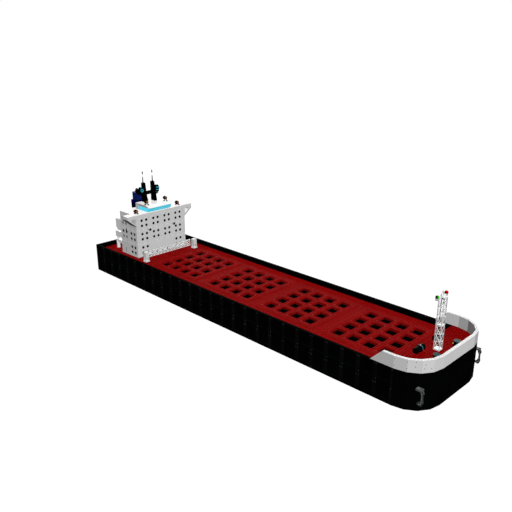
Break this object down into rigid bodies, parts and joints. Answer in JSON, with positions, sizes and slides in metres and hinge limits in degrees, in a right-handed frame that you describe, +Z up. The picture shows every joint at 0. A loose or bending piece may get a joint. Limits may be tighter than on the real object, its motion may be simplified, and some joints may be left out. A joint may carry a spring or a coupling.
{
  "type": "toy bulk carrier",
  "caption": "Brick-built toy bulk carrier with a flat-bottomed hull, gridded hatches, bow bulwark, lattice foremast, aft house with funnel, turning radars and swinging anchors.",
  "frame": {"origin": "under the middle of the hull, on the surface that it stands on", "axes": "+X to the bow, +Y to port, +Z up"},
  "size_m": [1.3278, 0.3038, 0.36],
  "materials": {
    "black": "smooth moulded",
    "red": "smooth moulded",
    "white": "smooth moulded",
    "blue": "smooth moulded",
    "clear_blue": "clear moulded",
    "dark_grey": "smooth moulded",
    "clear_green": "clear moulded",
    "clear_red": "clear moulded",
    "clear_orange": "clear moulded"
  },
  "bodies": {
    "ship": {"hull_bottom": "black", "hold_floor": "black", "hull_starboard_lower": "black", "hull_port_lower": "black", "hull_starboard_upper": "black", "hull_port_upper": "black", "hull_stern_lower": "black", "hull_stern_upper": "black", "hull_bow_lower": "black", "hull_bow_upper": "black", "windlass_drum_starboard": "black", "windlass_drum_port": "black", "capstan_starboard": "black", "capstan_port": "black", "masts": "black", "antenna_starboard": "black", "antenna_port": "black", "funnel_base": "black", "main_deck": "red", "forecastle_deck": "red", "hatch_grid_1": "red", "hatch_grid_2": "red", "hatch_grid_3": "red", "hatch_grid_4": "red", "bulwark_side_starboard": "white", "bulwark_side_port": "white", "bulwark_bow": "white", "foremast_lower": "white", "foremast_upper": "white", "foremast_head": "white", "house_front_wall": "white", "house_aft_wall": "white", "house_starboard_wall": "white", "house_port_wall": "white", "bridge_deck": "white", "wing_bracket_starboard": "white", "wing_bracket_port": "white", "wheelhouse_wall": "white", "wheelhouse_roof": "white", "engine_casing": "white", "aft_deck_upper": "white", "aft_deck_middle": "white", "aft_deck_lower": "white", "deck_rail": "white", "rail_post_starboard": "white", "rail_post_port": "white", "funnel": "blue", "wheelhouse_glass": "clear_blue", "anchor_bracket_starboard": "dark_grey", "anchor_bracket_port": "dark_grey", "foremast_lamp_starboard": "clear_green", "foremast_lamp_port": "clear_red", "wing_lamp_starboard": "clear_orange", "wing_lamp_port": "clear_orange", "roof_lamp_starboard": "clear_orange", "roof_lamp_port": "clear_orange"},
    "radar_starboard": {"radar_scanner_starboard": "black"},
    "radar_port": {"radar_scanner_port": "black"},
    "anchor_swing_starboard": {"anchor_starboard": "dark_grey"},
    "anchor_swing_port": {"anchor_port": "dark_grey"}
  },
  "joints": [
    {"name": "radar_turn_starboard", "type": "hinge", "parent": "ship", "child": "radar_starboard", "pos_m": [-0.536, -0.0408, 0.284], "axis": [0, 0, 1], "continuous": true},
    {"name": "anchor_swing_starboard_hinge", "type": "hinge", "parent": "ship", "child": "anchor_swing_starboard", "pos_m": [0.6496, -0.136, 0.0608], "axis": [0, 1, 0], "range_deg": [-75, 10]},
    {"name": "radar_turn_port", "type": "hinge", "parent": "ship", "child": "radar_port", "pos_m": [-0.536, 0.034, 0.2784], "axis": [0, 0, 1], "continuous": true},
    {"name": "anchor_swing_port_hinge", "type": "hinge", "parent": "ship", "child": "anchor_swing_port", "pos_m": [0.6496, 0.136, 0.0608], "axis": [0, 1, 0], "range_deg": [-75, 10]}
  ]
}
